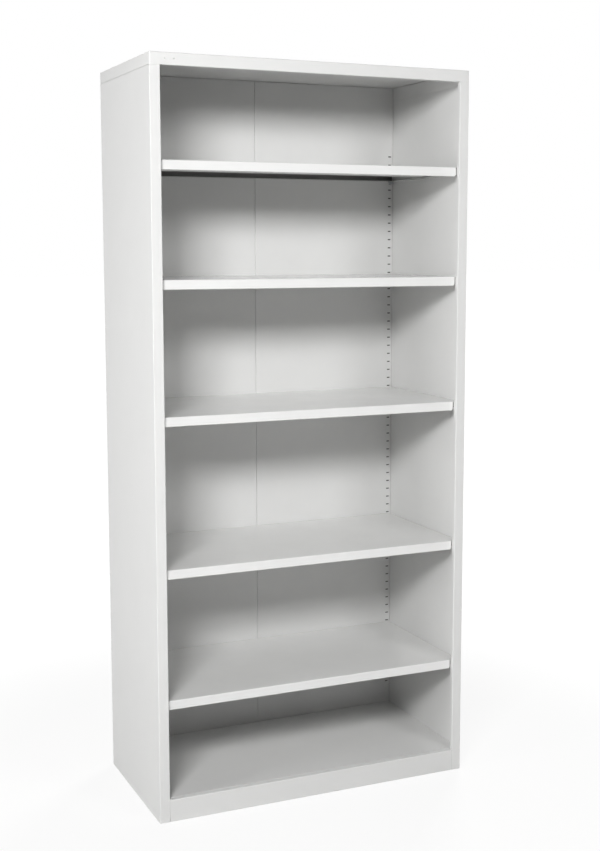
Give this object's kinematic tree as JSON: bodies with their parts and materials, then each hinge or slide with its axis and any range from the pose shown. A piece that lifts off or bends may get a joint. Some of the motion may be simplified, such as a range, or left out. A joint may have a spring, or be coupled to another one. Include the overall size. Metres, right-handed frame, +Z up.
{
  "type": "library bookcase",
  "caption": "Tall open-fronted sheet-steel bookcase: folded side panels with face-frame stiles, flanged top cap, slotted corners, lift-off shelves on clips, plinth base.",
  "frame": {"origin": "on the floor, at the middle of the case's width and depth", "axes": "+Z up, the open front faces -Y, +X to the right as seen from the front"},
  "size_m": [0.91, 0.45, 1.985],
  "materials": {
    "case_paint": "light grey semi-gloss powder coat",
    "shelf_paint": "light grey semi-gloss powder coat",
    "clip_zinc": "bright zinc plate"
  },
  "bodies": {
    "case": {"left_side_panel": "case_paint", "right_side_panel": "case_paint", "back_panel_left": "case_paint", "back_panel_right": "case_paint", "top_cap": "case_paint", "plinth": "case_paint", "base_shelf": "shelf_paint", "base_stiffener": "shelf_paint", "clip_1_front_left": "clip_zinc", "clip_1_front_right": "clip_zinc", "clip_1_rear_left": "clip_zinc", "clip_1_rear_right": "clip_zinc", "clip_2_front_left": "clip_zinc", "clip_2_front_right": "clip_zinc", "clip_2_rear_left": "clip_zinc", "clip_2_rear_right": "clip_zinc", "clip_3_front_left": "clip_zinc", "clip_3_front_right": "clip_zinc", "clip_3_rear_left": "clip_zinc", "clip_3_rear_right": "clip_zinc", "clip_4_front_left": "clip_zinc", "clip_4_front_right": "clip_zinc", "clip_4_rear_left": "clip_zinc", "clip_4_rear_right": "clip_zinc", "clip_5_front_left": "clip_zinc", "clip_5_front_right": "clip_zinc", "clip_5_rear_left": "clip_zinc", "clip_5_rear_right": "clip_zinc"},
    "lift_shelf_1": {"shelf_1": "shelf_paint", "shelf_1_stiffener": "shelf_paint"},
    "lift_shelf_2": {"shelf_2": "shelf_paint", "shelf_2_stiffener": "shelf_paint"},
    "lift_shelf_3": {"shelf_3": "shelf_paint", "shelf_3_stiffener": "shelf_paint"},
    "lift_shelf_4": {"shelf_4": "shelf_paint", "shelf_4_stiffener": "shelf_paint"},
    "lift_shelf_5": {"shelf_5": "shelf_paint", "shelf_5_stiffener": "shelf_paint"}
  },
  "joints": [
    {"name": "shelf_1_lift", "type": "slide", "parent": "case", "child": "lift_shelf_1", "axis": [0, 0, 1], "range_m": [0, 0.22]},
    {"name": "shelf_2_lift", "type": "slide", "parent": "case", "child": "lift_shelf_2", "axis": [0, 0, 1], "range_m": [0, 0.26]},
    {"name": "shelf_3_lift", "type": "slide", "parent": "case", "child": "lift_shelf_3", "axis": [0, 0, 1], "range_m": [0, 0.31]},
    {"name": "shelf_4_lift", "type": "slide", "parent": "case", "child": "lift_shelf_4", "axis": [0, 0, 1], "range_m": [0, 0.36]},
    {"name": "shelf_5_lift", "type": "slide", "parent": "case", "child": "lift_shelf_5", "axis": [0, 0, 1], "range_m": [0, 0.31]}
  ]
}
